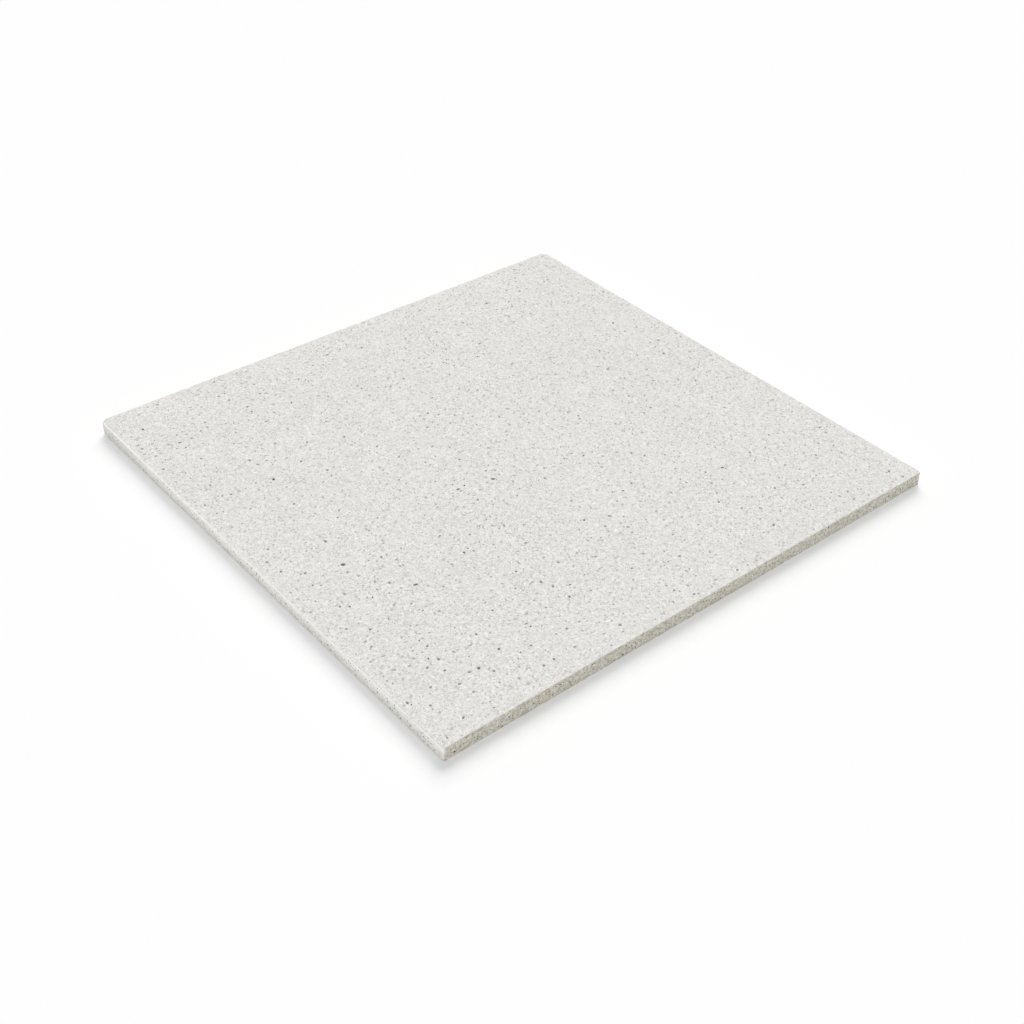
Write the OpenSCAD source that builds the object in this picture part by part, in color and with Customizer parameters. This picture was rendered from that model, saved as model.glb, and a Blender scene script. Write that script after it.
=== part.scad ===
// Lay-in ceiling tile: one square board of pressed mineral fibre, lying on its back with its face up.
// The face is pinholed and pitted, the sawn edges are porous, and the back is plain.
// Millimetres, +Z up, origin at the middle of the back.

/* [Board] */
// Side of the square board, a little under the grid's 600 mm module
board_side = 595; // [295:1:620]
// Thickness of the board
board_thickness = 15; // [12:0.5:25]
// Radius of the face's arris along the two painted sides
painted_arris = 1.2; // [0.4:0.1:1.8]
// Radius of the face's arris along the two sawn sides
sawn_arris = 0.4; // [0.2:0.1:1.2]
// Bevel of the raw arris round the back
back_arris = 0.3; // [0.2:0.1:1.5]
// Radius of the two sharper upright corners, at the front
corner_radius = 2.5; // [2:0.5:6]
// Radius of the two upright corners that are worn blunt, at the back
worn_corner_radius = 6; // [2:0.5:10]
// Radius to which the worn corners are rubbed down at the face and at the back
corner_wear = 4; // [1:0.5:6]

/* [Pinholes in the face] */
// Least side of the square cells that may each hold one pinhole
pinhole_cell = 9; // [7:0.5:20]
// Share of the cells that hold a pinhole
pinhole_share = 0.08; // [0.02:0.01:0.1]
// Width of the narrowest pinhole
pinhole_narrow = 1.3; // [0.8:0.1:1.8]
// Width of the widest pinhole
pinhole_wide = 2.4; // [2:0.1:3.4]
// Depth of a pinhole for each millimetre of its width
pinhole_steepness = 1.1; // [0.5:0.1:2]
// Distance from the outermost cells to the side of the board
pinhole_margin = 4; // [3:0.5:20]

/* [Large pits in the face] */
// Depth of a large pit for each millimetre of its width
large_pit_steepness = 0.8; // [0.4:0.1:1.2]

/* [Pores in the sawn edges] */
// Pores along each edge
edge_pores = 14; // [1:1:30]
// Width of the narrowest pore
edge_pore_narrow = 1; // [0.6:0.1:1.2]
// Width of the widest pore
edge_pore_wide = 2.2; // [1.4:0.1:2.6]
// Depth of a pore for each millimetre of its width
edge_pore_steepness = 0.7; // [0.4:0.1:1.5]

/* [Hidden] */

// The four corners in turn, from the one at +X, +Y
corner_radii = [worn_corner_radius, worn_corner_radius, corner_radius, corner_radius];
// The face's arrises along the four sides in turn, from the one at +X
face_arrises = [painted_arris, sawn_arris, painted_arris, sawn_arris];

// The largest pits of the face: where each lies, its length, its width and the turn of its length
large_pits = [
    [[-212, 98], 4.4, 3.8, 40],
    [[-191, -234], 3.8, 3, 10],
    [[-232, -55], 4.6, 3.6, 150],
    [[-197, -120], 4.8, 3, 170],
    [[-271, 256], 4, 2.8, 80],
    [[-219, -242], 4.2, 2.6, 25],
    [[-100, -220], 3.8, 2.2, 70],
    [[-126, 204], 3.8, 2.4, 60],
    [[-44, -37], 4.8, 3.2, 150],
    [[250, 30], 3.8, 3, 60],
    [[164, 242], 4.4, 2.8, 40],
    [[147, -166], 4.6, 2.8, 170],
    [[-243, -247], 3.4, 2.2, 170],
    [[-281, -28], 2.8, 2.2, 40],
    [[-237, -110], 2.8, 2, 30],
    [[-195, -207], 3.4, 2, 75],
    [[-152, -229], 3, 2, 25],
    [[-30, -226], 2.8, 2, 0],
    [[-21, -273], 2.8, 2, 20],
    [[-264, -280], 3.6, 2, 30],
    [[-257, 102], 3, 2.2, 100],
    [[-163, 78], 2.8, 2.2, 0],
    [[-218, 51], 3, 2.2, 30],
    [[-50, 10], 3.2, 2.6, 40],
];
large_pit_room = max([for (pit = large_pits) pit[1]]) + pinhole_cell;
// Rings of a large pit from its mouth to its floor: share of its depth, share of its mouth's radius
large_pit_rings = [[0, 1], [0.5, 0.85], [1, 0.35]];
large_pit_corners = 7;
large_pit_seed = 3;

// A pinhole's dice say whether it is there, its place, width, stretch and turn, and then its corners
pinhole_corners = 6;
pinhole_dice = 6 + pinhole_corners;
pinhole_seed = 7;
edge_seed = 11;

// Most that a pinhole is longer than it is wide
pinhole_stretch = 1.7;
// Share by which the corners of a pit stand in or out from an ellipse
pit_roughness = 0.25;
// Angle at which a rounded arris meets the face and the side, so that no cut runs out in a feather
arris_meeting = 12;
// Height of a cutter above the surface that it sinks into
lip = 0.4;
arc_steps = 48;

function mix(from, to, share) = from + (to - from) * share;

function slice(list, first, count) = [for (index = [first : first + count - 1]) list[index]];

// Outline of a pit: an ellipse of a few corners, each pushed in or out by its own throw of the dice
function rough_outline(length, width, dice) = [
    for (corner = [0 : len(dice) - 1])
        let (
            angle = 360 * corner / len(dice),
            reach = mix(1 - pit_roughness, 1 + pit_roughness, dice[corner]) / 2
        )
        reach * [length * cos(angle), width * sin(angle)]
];

// A small hole with upright walls, sunk from z = 0 somewhere inside a square cell
module pinhole(dice, cell, narrow, wide, steepness) {
    width = mix(narrow, wide, pow(dice[3], 4));
    longest = min(pinhole_stretch * width, cell / (1 + pit_roughness));
    length = mix(width, longest, pow(dice[4], 2));
    play = cell - length * (1 + pit_roughness);
    depth = width * steepness;
    translate([play * (dice[1] - 0.5), play * (dice[2] - 0.5), -depth])
        rotate(180 * dice[5])
            linear_extrude(depth + lip)
                polygon(rough_outline(length, width, slice(dice, 6, pinhole_corners)));
}

// A torn pit that narrows ring by ring to its floor, sunk from z = 0
module large_pit(length, width, depth, dice) {
    outline = rough_outline(length, width, dice);
    corners = len(outline);
    rings = concat([[-lip / depth, 1]], large_pit_rings);
    points = [
        for (ring = rings, point = outline)
            [point[0] * ring[1], point[1] * ring[1], -depth * ring[0]]
    ];
    mouth = [for (corner = [corners - 1 : -1 : 0]) corner];
    floor = [for (corner = [0 : corners - 1]) corner + (len(rings) - 1) * corners];
    walls = [
        for (ring = [0 : len(rings) - 2], corner = [0 : corners - 1])
            let (
                here = ring * corners + corner,
                next = ring * corners + (corner + 1) % corners
            )
            [here, next, next + corners, here + corners]
    ];
    polyhedron(points, concat([mouth, floor], walls));
}

// The pinholes, each in a cell of a square grid that stops short of the sides and leaves the large pits room
module pinholes() {
    field = board_side - 2 * pinhole_margin;
    cells = floor(field / pinhole_cell);
    pitch = field / cells;
    dice = rands(0, 1, cells * cells * pinhole_dice, pinhole_seed);
    for (row = [0 : cells - 1], column = [0 : cells - 1]) {
        own_dice = slice(dice, (row * cells + column) * pinhole_dice, pinhole_dice);
        centre = pitch * [column - (cells - 1) / 2, row - (cells - 1) / 2];
        gap = min([for (pit = large_pits) norm(centre - pit[0])]);
        if (own_dice[0] < pinhole_share && gap > large_pit_room)
            translate(centre)
                pinhole(own_dice, pitch, pinhole_narrow, pinhole_wide, pinhole_steepness);
    }
}

// The large pits that the board is wide enough to hold
module placed_large_pits() {
    dice = rands(0, 1, len(large_pits) * large_pit_corners, large_pit_seed);
    for (index = [0 : len(large_pits) - 1]) {
        pit = large_pits[index];
        reach = max(abs(pit[0][0]), abs(pit[0][1])) + pit[1];
        if (reach < board_side / 2 - pinhole_margin)
            translate(pit[0])
                rotate(pit[3])
                    large_pit(
                        pit[1],
                        pit[2],
                        pit[2] * large_pit_steepness,
                        slice(dice, index * large_pit_corners, large_pit_corners)
                    );
    }
}

// The pores of one edge, spread along it and clear of both its arrises
module edge_pore_row(seed) {
    cell = edge_pore_wide * pinhole_stretch * (1 + pit_roughness);
    spacing = (board_side - 2 * max(corner_radii)) / edge_pores;
    play_along = spacing - cell;
    play_up = board_thickness - 2 * max(painted_arris, sawn_arris, back_arris) - cell;
    dice = rands(0, 1, edge_pores * pinhole_dice, seed);
    for (index = [0 : edge_pores - 1]) {
        own_dice = slice(dice, index * pinhole_dice, pinhole_dice);
        along = (index - (edge_pores - 1) / 2) * spacing;
        translate([along + play_along * (own_dice[0] - 0.5), play_up * (own_dice[2] - 0.5)])
            pinhole(own_dice, cell, edge_pore_narrow, edge_pore_wide, edge_pore_steepness);
    }
}

// Section of what is taken off to round an arris, from the sharp corner that would be there
module arris_section(radius) {
    translate(-radius * cos(arris_meeting) * [1, 1])
        difference() {
            square(radius + lip);
            circle(radius, $fn = arc_steps);
        }
}

// Section of what is taken off the arris of the back, from the sharp corner that would be there
module back_bevel() {
    polygon([[-back_arris - lip, -lip], [lip, -lip], [lip, back_arris + lip]]);
}

// A cutter of the given section, run past one side from end to end
module along_side(height) {
    translate([board_side / 2, board_side / 2 + lip, height])
        rotate([90, 0, 0])
            linear_extrude(board_side + 2 * lip) children();
}

// What is rubbed off the tip of a worn corner, straight across its diagonal, at the face and at the back
module tip_wear() {
    tip = sqrt(2) * (board_side / 2 - worn_corner_radius * cos(arris_meeting)) + worn_corner_radius;
    width = 4 * (worn_corner_radius + corner_wear);
    for (flip = [0, 180])
        translate([tip, 0, board_thickness / 2])
            rotate([flip, 0, 0])
                translate([0, width / 2, board_thickness / 2])
                    rotate([90, 0, 0])
                        linear_extrude(width) arris_section(corner_wear);
}

// The board before it is holed: a square slab with its arrises taken off and its upright corners rounded
module board() {
    difference() {
        translate([-board_side / 2, -board_side / 2, 0])
            cube([board_side, board_side, board_thickness]);
        for (side = [0 : 3])
            rotate(90 * side) {
                along_side(board_thickness) arris_section(face_arrises[side]);
                along_side(0) back_bevel();
                translate([board_side / 2, board_side / 2, -lip])
                    linear_extrude(board_thickness + 2 * lip) arris_section(corner_radii[side]);
            }
        for (side = [0, 1])
            rotate(90 * side + 45) tip_wear();
    }
}

module ceiling_tile() {
    color("#E2E1DD")
        difference() {
            board();
            translate([0, 0, board_thickness]) {
                pinholes();
                placed_large_pits();
            }
            for (side = [0 : 3])
                rotate(90 * side)
                    translate([0, -board_side / 2, board_thickness / 2])
                        rotate([90, 0, 0])
                            edge_pore_row(edge_seed + side);
        }
}

ceiling_tile();
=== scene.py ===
import bpy
import math
import random
from mathutils import Matrix, Vector, noise


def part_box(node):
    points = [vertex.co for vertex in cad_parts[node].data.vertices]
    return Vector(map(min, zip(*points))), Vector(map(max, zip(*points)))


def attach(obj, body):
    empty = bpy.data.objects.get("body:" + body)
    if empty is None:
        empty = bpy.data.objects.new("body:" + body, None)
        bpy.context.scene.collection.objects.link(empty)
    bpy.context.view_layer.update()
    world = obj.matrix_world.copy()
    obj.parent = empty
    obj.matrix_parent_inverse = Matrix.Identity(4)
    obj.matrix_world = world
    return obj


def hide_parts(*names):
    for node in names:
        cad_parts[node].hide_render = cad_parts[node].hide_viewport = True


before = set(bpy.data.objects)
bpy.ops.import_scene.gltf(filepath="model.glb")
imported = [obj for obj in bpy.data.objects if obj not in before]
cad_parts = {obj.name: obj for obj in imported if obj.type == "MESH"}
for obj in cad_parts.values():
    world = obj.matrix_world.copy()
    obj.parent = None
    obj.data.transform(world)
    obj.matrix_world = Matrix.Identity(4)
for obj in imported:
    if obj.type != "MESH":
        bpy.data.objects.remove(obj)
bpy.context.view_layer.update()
mm = 0.001
boardLow, boardHigh = (Vector(corner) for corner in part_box("ceiling_tile"))
side = boardHigh.x - boardLow.x
half = side / 2
top = boardHigh.z
print("frame loaded, board of", [round(size / mm, 2) for size in boardHigh - boardLow], "mm")


# camera, worked out from the corners of the tile's face in the photograph
shot = {"target": (-0.00449, -0.11311, 0.0), "azimuth": -41.2244, "elevation": 37.654, "roll": 1.3855,
        "distance": 1.4479, "lens": 52.02, "shiftX": -0.0596}


def addCamera():
    azimuth, elevation, roll = (math.radians(shot[key]) for key in ("azimuth", "elevation", "roll"))
    level = Vector((math.cos(azimuth), math.sin(azimuth), 0))
    back = Vector((math.sin(azimuth) * math.cos(elevation), -math.cos(azimuth) * math.cos(elevation),
                   math.sin(elevation)))
    upright = back.cross(level)
    right = level * math.cos(roll) + upright * math.sin(roll)
    up = upright * math.cos(roll) - level * math.sin(roll)
    bpy.ops.object.camera_add(location=Vector(shot["target"]) + back * shot["distance"])
    camera = bpy.context.object
    camera.rotation_euler = Matrix((right, up, back)).transposed().to_euler()
    camera.data.lens = shot["lens"]
    camera.data.shift_x = shot["shiftX"]
    bpy.context.scene.camera = camera
    print("camera set")


def addNode(tree, kind, inputs=None, **settings):
    node = tree.nodes.new(kind)
    for name, value in settings.items():
        setattr(node, name, value)
    for name, value in (inputs or {}).items():
        if isinstance(value, bpy.types.NodeSocket):
            tree.links.new(value, node.inputs[name])
        else:
            node.inputs[name].default_value = value
    return node


def addNoise(tree, place, across, detail=2, roughness=0.5, distortion=0):  # across in mm
    return addNode(tree, "ShaderNodeTexNoise",
                   {"Vector": place, "Scale": 1 / (across * mm), "Detail": detail, "Roughness": roughness,
                    "Distortion": distortion}).outputs["Fac"]


def addMath(tree, operation, *values):
    return addNode(tree, "ShaderNodeMath", dict(enumerate(values)), operation=operation).outputs[0]


def addRange(tree, value, start, end, first=0, last=1):  # start to end becomes first to last
    return addNode(tree, "ShaderNodeMapRange",
                   {"Value": value, "From Min": start, "From Max": end, "To Min": first,
                    "To Max": last}).outputs[0]


def addMix(tree, share, first, second):  # 6, 7 and 2 are the node's sockets for colours
    return addNode(tree, "ShaderNodeMix", {0: share, 6: first, 7: second}, data_type="RGBA").outputs[2]


def addBump(tree, height, rise, under=None):  # rise in mm, over another bump or none
    inputs = {"Height": height, "Distance": rise * mm, "Strength": 1}
    if under is not None:
        inputs["Normal"] = under
    return addNode(tree, "ShaderNodeBump", inputs).outputs[0]


def tone(hexColour):  # sRGB hex to linear
    parts = [int(hexColour[first:first + 2], 16) / 255 for first in (1, 3, 5)]
    return [part / 12.92 if part <= 0.04045 else ((part + 0.055) / 1.055) ** 2.4 for part in parts] + [1]


def newMaterial(name):
    material = bpy.data.materials.new(name)
    material.use_nodes = True
    material.node_tree.nodes.clear()
    return material, material.node_tree


def addSurface(tree, colour, normal, look):
    shader = addNode(tree, "ShaderNodeBsdfPrincipled",
                     {"Base Color": colour, "Roughness": look["roughness"],
                      "Specular IOR Level": look["specular"], "Normal": normal})
    addNode(tree, "ShaderNodeOutputMaterial", {"Surface": shader.outputs[0]})


# matt latex paint sprayed on felted board: a faintly warm white that dries sandy over the fibres
paint = {
    "light": "#FFFEFB",
    "dark": "#D3D1CC",
    "grit": 1.8,         # mm across, the sandy tooth
    "gritCrisp": 0.6,    # how much of it is finer still
    "gritRise": 1.3,     # mm
    "lump": 3.6,         # mm, fibres under the paint
    "lumpCrisp": 0.55,
    "lumpRise": 0.4,     # mm
    "lumpShare": 0.45,   # how much they count beside the grit
    "cloud": 40,         # mm, thicker and thinner paint
    "cloudShare": 0.1,
    "swirl": 0.8,        # how far grit and fibres curl
    "deep": 0.47,        # level of the mottle that is quite dark
    "high": 1,           # level that is quite light
    "roughness": 0.92,
    "specular": 0.2,
}
# single fibres that show through the paint here and there, as thin curled lines
hairs = {
    "colour": "#BDBAB3",
    "bend": 6,           # mm, size of their bends
    "curl": 1,
    "middle": 0.5,       # level of the bends' noise that they follow
    "width": 0.028,      # how far from that level they reach
    "whole": 0.36,       # level of the lumps up to which they show whole
    "gone": 0.48,        # level from which they are covered
}
# the bead that the same paint leaves along two arrises: thicker and smoother, and whiter partly as a
# painted highlight
beadAndHighlight = {**paint, "light": "#FFFEFA", "dark": "#E1DFD8", "grit": 1.2, "gritRise": 0.1, "lump": 3,
        "lumpRise": 0.2, "cloud": 60, "swirl": 0.2, "deep": 0.45, "high": 0.85, "roughness": 0.88}


def paintMaterial(name, coat, lines=None):
    material, tree = newMaterial(name)
    place = addNode(tree, "ShaderNodeTexCoord").outputs["Object"]
    grit = addNoise(tree, place, coat["grit"], roughness=coat["gritCrisp"], distortion=coat["swirl"])
    lump = addNoise(tree, place, coat["lump"], roughness=coat["lumpCrisp"], distortion=coat["swirl"])
    cloud = addNoise(tree, place, coat["cloud"])
    both = addMath(tree, "MULTIPLY_ADD", lump, coat["lumpShare"], grit)
    mottle = addMath(tree, "MULTIPLY_ADD", cloud, coat["cloudShare"], both)
    share = addRange(tree, mottle, coat["deep"], coat["high"])
    colour = addMix(tree, share, tone(coat["dark"]), tone(coat["light"]))
    if lines:
        bend = addNoise(tree, place, lines["bend"], detail=1, distortion=lines["curl"])
        off = addMath(tree, "ABSOLUTE", addMath(tree, "SUBTRACT", bend, lines["middle"]))
        line = addRange(tree, off, 0, lines["width"], 1, 0)
        bare = addRange(tree, lump, lines["whole"], lines["gone"], 1, 0)
        colour = addMix(tree, addMath(tree, "MULTIPLY", line, bare), colour, tone(lines["colour"]))
    swell = addBump(tree, lump, coat["lumpRise"])
    tooth = addBump(tree, grit, coat["gritRise"], swell)
    addSurface(tree, colour, tooth, coat)
    return material


# levels of the mottle and of the grains, the same in all bare fibre
felted = {"crisp": 0.6, "deep": 0.7, "high": 1.3, "grainScale": 0.6, "grainFrom": 0.62, "grainTo": 0.8,
          "specular": 0.15}
# mineral fibre that the paint didn't reach, in the pits: dull grey and rough, with painted shade that
# darkens it with depth (z in mm)
pitFibreAndShade = {**felted, "light": "#E0DDD7", "dark": "#C0BDB6", "grain": "#94918A", "strand": 0.8, "stain": 4,
            "lie": (1, 1, 1), "rise": 0.1, "roughness": 0.97, "second": "#3A3732", "secondFrom": 14.65,
            "secondTo": 13}
# mineral fibre laid bare, on the sawn sides and the worn corners: warm beige with brown grains, in layers
sawnFibre = {**felted, "light": "#EEEBE0", "dark": "#ADA695", "grain": "#6F6450", "strand": 1, "stain": 3,
             "lie": (0.6, 0.6, 1), "rise": 0.2, "roughness": 0.96}
# the same with paint that drifted over it, on the two other sides: white at the face and greyer below,
# partly from thinner paint and partly as painted light at the top and painted shade towards the floor
sealedFibreWithShade = {**felted, "light": "#E4E2DD", "dark": "#BBB8B0", "grain": "#938C7E", "strand": 1, "stain": 3,
               "lie": (0.6, 0.6, 1), "rise": 0.15, "roughness": 0.93, "second": "#F3F2EC", "secondFrom": 0,
               "secondTo": 15, "thinFrom": 180, "thinTo": 400}
# the felt side of the board as it left the drier: greyish beige with faint long marks
feltFibre = {**felted, "light": "#D9D6CE", "dark": "#C4BEB1", "grain": "#A69C89", "strand": 1.4,
             "stain": 12, "lie": (0.15, 1, 1), "rise": 0.15, "roughness": 0.96}


def fibreMaterial(name, fibre):
    material, tree = newMaterial(name)
    place = addNode(tree, "ShaderNodeTexCoord").outputs["Object"]
    laid = addNode(tree, "ShaderNodeMapping", {"Vector": place, "Scale": fibre["lie"]}).outputs[0]
    strand = addNoise(tree, laid, fibre["strand"], detail=3, roughness=fibre["crisp"])
    stain = addNoise(tree, place, fibre["stain"])
    grain = addNoise(tree, laid, fibre["strand"] / fibre["grainScale"], detail=1)
    share = addRange(tree, addMath(tree, "ADD", strand, stain), fibre["deep"], fibre["high"])
    felt = addMix(tree, share, tone(fibre["dark"]), tone(fibre["light"]))
    spot = addRange(tree, grain, fibre["grainFrom"], fibre["grainTo"])
    colour = addMix(tree, spot, felt, tone(fibre["grain"]))
    if "second" in fibre:  # a second colour higher up or lower down, with an uneven edge: painted shade deep in the pits, and on the sealed sides paint drift with painted light and shade
        height = addNode(tree, "ShaderNodeSeparateXYZ", {"Vector": place}).outputs["Z"]
        uneven = addRange(tree, stain, 0, 1, -0.5, 0.5)
        shift = (fibre["secondTo"] - fibre["secondFrom"]) * mm / 2
        level = addMath(tree, "MULTIPLY_ADD", uneven, shift, height)
        driftAndShade = addRange(tree, level, fibre["secondFrom"] * mm, fibre["secondTo"] * mm)
        if "thinFrom" in fibre:  # it thins out towards the worn corners, by y in mm
            across = addNode(tree, "ShaderNodeSeparateXYZ", {"Vector": place}).outputs["Y"]
            thin = addRange(tree, across, fibre["thinFrom"] * mm, fibre["thinTo"] * mm, 1, 0)
            driftAndShade = addMath(tree, "MULTIPLY", driftAndShade, thin)
        colour = addMix(tree, driftAndShade, colour, tone(fibre["second"]))
    addSurface(tree, colour, addBump(tree, strand, fibre["rise"]), fibre)
    return material


slots = {"paint": 0, "pit": 1, "sawn": 2, "sealed": 3, "felt": 4, "beadAndHighlight": 5}


def boardMaterials():
    return [paintMaterial("mattPaintOnFibre", paint, hairs), fibreMaterial("fibreInPitsWithShade", pitFibreAndShade),
            fibreMaterial("sawnFibre", sawnFibre), fibreMaterial("thinlyPaintedFibreWithShade", sealedFibreWithShade),
            fibreMaterial("feltBack", feltFibre), paintMaterial("paintBeadAndHighlight", beadAndHighlight)]


# stamps that the small pits are cut with: ragged cones, narrow end down, about 1 across and 1 deep
stamps = {"count": 6, "ragged": 0.16, "mouth": 0.62, "lip": 0.3}
stampShapes = {"blunt": {"corners": 6, "floor": 0.22}, "pointed": {"corners": 5, "floor": 0},
               "fine": {"corners": 4, "floor": 0}}


def makeStamps(corners, floor):
    made = []
    for number in range(stamps["count"]):
        bpy.ops.object.select_all(action="DESELECT")
        bpy.ops.mesh.primitive_cone_add(vertices=corners, radius1=floor, radius2=stamps["mouth"],
                                        depth=1 + stamps["lip"], location=(0, 0, (stamps["lip"] - 1) / 2))
        stamp = bpy.context.object
        bpy.ops.object.transform_apply(location=True, rotation=False, scale=False)
        bpy.ops.object.mode_set(mode="EDIT")
        bpy.ops.mesh.select_all(action="SELECT")
        bpy.ops.transform.vertex_random(offset=stamps["ragged"], seed=number + 1)
        bpy.ops.object.mode_set(mode="OBJECT")
        made.append(stamp)
    return made


# how a pit may be turned, in degrees: those of the face lie mostly one way
oneWay, anyWay, alongArris = (-11, 109), (0, 360), (0, 0)
# what is too small for the solid, each kind strewn in cells (mm, depth for each mm of width)
hollows = {"cell": 6, "share": 0.22, "narrow": 1.4, "wide": 3, "stretch": 1.7, "depth": 0.38, "margin": 3,
           "slot": "paint", "stamp": "pointed", "turns": oneWay, "seed": 20}
scars = {"cell": 7, "share": 0.24, "narrow": 1.5, "wide": 3, "stretch": 2.4, "depth": 0.25, "margin": 4,
         "slot": "pit", "stamp": "pointed", "turns": oneWay, "seed": 26}
tornPits = {"cell": 12, "share": 0.32, "narrow": 1.7, "wide": 2.9, "stretch": 2, "depth": 0.4, "margin": 4,
            "slot": "pit", "stamp": "blunt", "turns": oneWay, "seed": 21}
nicks = {"cell": 7, "share": 0.2, "narrow": 1.4, "wide": 2.3, "stretch": 2.4, "depth": 0.36, "margin": 3,
         "slot": "pit", "stamp": "pointed", "turns": oneWay, "seed": 25}
pricks = {"cell": 5, "share": 0.23, "narrow": 0.95, "wide": 1.45, "stretch": 2, "depth": 0.46, "margin": 3,
          "slot": "pit", "stamp": "fine", "turns": oneWay, "seed": 22}
pores = {"cell": 3.6, "share": 0.55, "narrow": 0.6, "wide": 1.5, "stretch": 1.9, "depth": 0.7,
         "margin": 1.5, "slot": "pit", "stamp": "pointed", "turns": anyWay, "seed": 23}
chips = {"cell": 7, "share": 0.4, "narrow": 0.4, "wide": 0.8, "stretch": 2.4, "depth": 0.7, "margin": 0,
         "slot": "sawn", "stamp": "pointed", "turns": alongArris, "seed": 24}
# the felt is closer in some patches (mm), so that pits come thick here and thin there
patches = {"across": 28, "strength": 0.55}
# least cell for each mm of a pit's length, room that it takes, and how its depth varies
play = {"cell": 1.5, "room": 1.4, "shallow": 0.7, "spread": 0.6}


def strew(kind, forms, seats):
    points, faces = [], []
    dice = random.Random(kind["seed"])
    start, end = kind["turns"]
    for seat, length, height in seats:
        length -= 2 * kind["margin"] * mm
        height -= 2 * kind["margin"] * mm
        columns = int(length / (kind["cell"] * mm))
        rows = max(1, int(height / (kind["cell"] * mm)))
        pitch = Vector((length / columns, max(0, height / rows)))
        for number in range(columns * rows):
            x = (number % columns + 0.5) * pitch.x - length / 2
            y = (number // columns + 0.5 - rows / 2) * pitch.y
            patch = noise.noise(seat @ Vector((x, y, 0)) / (patches["across"] * mm))
            if dice.random() > kind["share"] * (1 + patches["strength"] * patch):
                continue
            width = (kind["narrow"] + (kind["wide"] - kind["narrow"]) * dice.random() ** 2) * mm
            reach = min(width * (1 + (kind["stretch"] - 1) * dice.random() ** 2), pitch.x / play["cell"])
            x += max(0, pitch.x - play["room"] * reach) * (dice.random() - 0.5)
            y += max(0, pitch.y - play["room"] * reach) * (dice.random() - 0.5)
            turn = math.radians(start + (end - start) * dice.random())
            depth = width * kind["depth"] * (play["shallow"] + play["spread"] * dice.random())
            put = (seat @ Matrix.Translation((x, y, 0)) @ Matrix.Rotation(turn, 4, "Z")
                   @ Matrix.Diagonal((reach, width, depth, 1)))
            form = dice.choice(forms).data
            first = len(points)
            points += [put @ vertex.co for vertex in form.vertices]
            faces += [[first + corner for corner in face.vertices] for face in form.polygons]
    return points, faces


def cut(board, kind, made, seats):
    points, faces = strew(kind, made[kind["stamp"]], seats)
    mesh = bpy.data.meshes.new("cutter")
    mesh.from_pydata(points, [], faces)
    for material in board.data.materials:
        mesh.materials.append(material)
    for face in mesh.polygons:
        face.material_index = slots[kind["slot"]]
    cutter = bpy.data.objects.new("cutter", mesh)
    bpy.context.collection.objects.link(cutter)
    bpy.ops.object.select_all(action="DESELECT")
    board.select_set(True)
    bpy.context.view_layer.objects.active = board
    bpy.ops.object.modifier_add(type="BOOLEAN")
    change = board.modifiers[-1]
    change.operation = "DIFFERENCE"
    change.solver = "MANIFOLD"
    change.object = cutter
    bpy.ops.object.modifier_apply(modifier=change.name)
    bpy.data.objects.remove(cutter)
    print("cut with", len(faces), "faces, board has", len(board.data.polygons))


# where the parts of the solid lie, in mm
zones = {
    "painted": 1.25,     # reach of the painted arrises
    "sawn": 0.45,        # reach of the sawn arrises
    "corner": 9.5,       # reach of the upright corners
    "deepest": 6,        # no pit of the face goes deeper
    "rim": 2,            # no pit of the face is nearer to a side
    "under": 1,          # a face lower than this that looks down is the back's
    "level": 0.01,       # a face this near to the top lies in it
    "skin": 0.02,        # a face this near to a side lies in it
    "weld": 0.001,       # points this near to each other are one
}
# z of a normal that counts as down, and y of one that counts as square to a sawn side
facing = {"down": -0.5, "sawn": 0.98}


def sortFaces(board):  # gives each face of the solid's copy its slot, and smooths the rounded ones
    for face in board.data.polygons:
        x, y, z = half - abs(face.center.x), half - abs(face.center.y), top - face.center.z
        onTop = z < zones["level"] * mm
        onBeadAndHighlight = max(x, z) < zones["painted"] * mm and z > zones["level"] * mm
        onSawnArris = max(y, z) < zones["sawn"] * mm
        atCorner = max(x, y) < zones["corner"] * mm
        rubbed = atCorner and face.center.y > 0  # the paint is worn off the two blunt corners
        if face.normal.z < facing["down"] and z > top / 2:
            slot = "felt"
        # the arris bead, whiter partly as a painted highlight
        elif onBeadAndHighlight:
            slot = "beadAndHighlight"
        elif onTop or onSawnArris:
            slot = "paint"
        elif min(x, y) > zones["skin"] * mm and not atCorner:
            slot = "pit"
        else:
            slot = "sawn" if rubbed or abs(face.normal.y) > facing["sawn"] else "sealed"
        face.material_index = slots[slot]
        face.use_smooth = slot == "beadAndHighlight" or (atCorner and slot in ("sealed", "sawn"))


# the board's own map: face large, back small, the four sides as strips above the face
chart = {"face": 0.76, "back": 0.2, "strip": 0.038, "gap": 0.012, "lean": 0.4}


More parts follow.
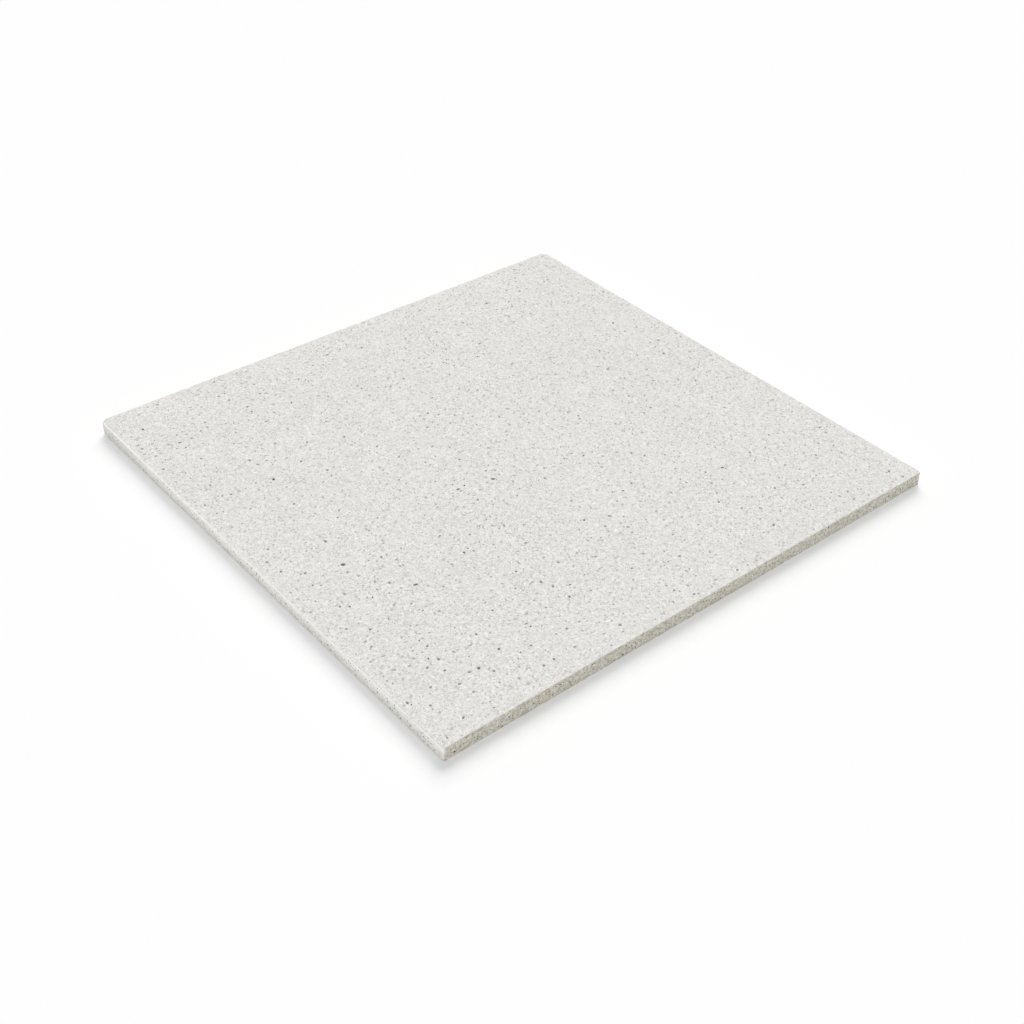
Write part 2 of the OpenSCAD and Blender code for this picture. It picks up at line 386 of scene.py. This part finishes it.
def layOut(board):  # upright walls of pits and pores lean in, so that they get a width on the map
    mesh = board.data
    layer = mesh.uv_layers.new(name="OFBake")
    faceScale, backScale, stripScale = chart["face"] / side, chart["back"] / side, chart["strip"] / top
    for face in mesh.polygons:
        x, y, z = face.center
        inset = half - max(abs(x), abs(y))
        inPit = inset > zones["rim"] * mm and z > top - zones["deepest"] * mm
        onFace = z > top - zones["level"] * mm or inPit
        onBack = face.normal.z < facing["down"] and z < zones["under"] * mm
        onArris = face.material_index in (slots["paint"], slots["beadAndHighlight"])
        along = 0 if abs(y) > abs(x) else 1  # the axis that the side runs along
        number = along + (2 if face.center[1 - along] > 0 else 0)
        for loop in face.loop_indices:
            place = mesh.vertices[mesh.loops[loop].vertex_index].co
            if onBack:
                u = chart["face"] + 2 * chart["gap"] + (place.x + half) * backScale
                v = chart["gap"] + (place.y + half) * backScale
            elif onFace or onArris:
                drop = chart["lean"] * (top - place.z) if onFace else 0
                u = chart["gap"] + (place.x + half + drop * face.normal.x) * faceScale
                v = chart["gap"] + (place.y + half + drop * face.normal.y) * faceScale
            else:
                drop = chart["lean"] * (half - abs(place[1 - along]))
                u = chart["gap"] + (place[along] + half + drop * face.normal[along]) * faceScale
                v = (chart["face"] + 2 * chart["gap"] + number * (chart["strip"] + chart["gap"])
                     + (place.z + drop * face.normal.z) * stripScale)
            layer.data[loop].uv = (u, v)
    print("board mapped")


def addBoard():
    board = bpy.data.objects.new("fibreBoard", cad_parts["ceiling_tile"].data.copy())
    bpy.context.collection.objects.link(board)
    bpy.ops.object.select_all(action="DESELECT")
    board.select_set(True)
    bpy.context.view_layer.objects.active = board
    bpy.ops.object.mode_set(mode="EDIT")
    bpy.ops.mesh.select_all(action="SELECT")
    bpy.ops.mesh.remove_doubles(threshold=zones["weld"] * mm)
    bpy.ops.object.mode_set(mode="OBJECT")
    board.data.materials.clear()
    for material in boardMaterials():
        board.data.materials.append(material)
    sortFaces(board)
    print("copy of the solid,", len(board.data.polygons), "faces")

    made = {name: makeStamps(**shape) for name, shape in stampShapes.items()}
    run = side - 2 * zones["corner"] * mm
    faceSeat = [(Matrix.Translation((0, 0, top)), side, side)]
    edgeSeats, arrisSeats = [], []
    for quarter in range(4):
        around = Matrix.Rotation(quarter * math.pi / 2, 4, "Z")
        outward = around @ Matrix.Translation((0, -half, top / 2)) @ Matrix.Rotation(math.pi / 2, 4, "X")
        edgeSeats.append((outward, run, top))
        if quarter % 2 == 0:  # the sawn sides, where bits of the arris break out
            slanted = around @ Matrix.Translation((0, -half, top)) @ Matrix.Rotation(math.pi / 4, 4, "X")
            arrisSeats.append((slanted, run, 0))
    for kind in (hollows, scars, tornPits, nicks, pricks):
        cut(board, kind, made, faceSeat)
    cut(board, pores, made, edgeSeats)
    cut(board, chips, made, arrisSeats)
    for stamp in sum(made.values(), []):
        bpy.data.objects.remove(stamp)
    layOut(board)
    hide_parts("ceiling_tile")
    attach(board, "root")
    board.data.calc_loop_triangles()
    print("board dressed,", len(board.data.loop_triangles), "triangles")


# shares of the light on a level face, which add up to 1 so that a colour renders as it is written
light = {"sky": 0.38, "skyTint": (0.97, 1, 1.03), "sun": 0.41, "sunHeight": 41, "sunTurn": 135,
         "sunSpread": 42, "fill": 0.21, "fillHeight": 33, "fillTurn": -59, "lampHeight": 2}
# white floor, in metres, a hair below the board
ground = {"colour": "#FEFEFE", "size": 60, "drop": 0.05 * mm}


def addSun(level, height, turn):
    bpy.ops.object.light_add(type="SUN", location=(0, 0, light["lampHeight"]))
    sun = bpy.context.object
    sun.data.energy = level * math.pi / math.sin(math.radians(height))
    sun.rotation_euler = (math.radians(90 - height), 0, math.radians(turn))
    return sun.data


def addFloor():
    bpy.ops.object.select_all(action="DESELECT")
    bpy.ops.mesh.primitive_plane_add(size=ground["size"], location=(0, 0, -ground["drop"]))
    floor = bpy.context.object
    floor.name = "studioFloor"
    material, tree = newMaterial("whiteFloor")
    shader = addNode(tree, "ShaderNodeBsdfDiffuse", {"Color": tone(ground["colour"])})
    addNode(tree, "ShaderNodeOutputMaterial", {"Surface": shader.outputs[0]})
    floor.data.materials.append(material)


def addLight():
    world = bpy.data.worlds.new("studio")
    bpy.context.scene.world = world
    world.use_nodes = True
    tree = world.node_tree
    tree.nodes.clear()
    sky = addNode(tree, "ShaderNodeBackground",
                  {"Color": (*light["skyTint"], 1), "Strength": light["sky"]})
    white = addNode(tree, "ShaderNodeBackground", {"Color": (1, 1, 1, 1), "Strength": 1})
    ray = addNode(tree, "ShaderNodeLightPath")
    pick = addNode(tree, "ShaderNodeMixShader",
                   {0: ray.outputs["Is Camera Ray"], 1: sky.outputs[0], 2: white.outputs[0]})
    addNode(tree, "ShaderNodeOutputWorld", {"Surface": pick.outputs[0]})

    sun = addSun(light["sun"], light["sunHeight"], light["sunTurn"])
    sun.angle = math.radians(light["sunSpread"])
    # the sun is warm by as much as the sky is cool, so that both together are white
    sun.color = [1 + (1 - part) * light["sky"] / light["sun"] for part in light["skyTint"]]
    addSun(light["fill"], light["fillHeight"], light["fillTurn"]).use_shadow = False
    bpy.context.scene.view_settings.view_transform = "Standard"
    print("studio lit")


addCamera()
addBoard()
addFloor()
addLight()
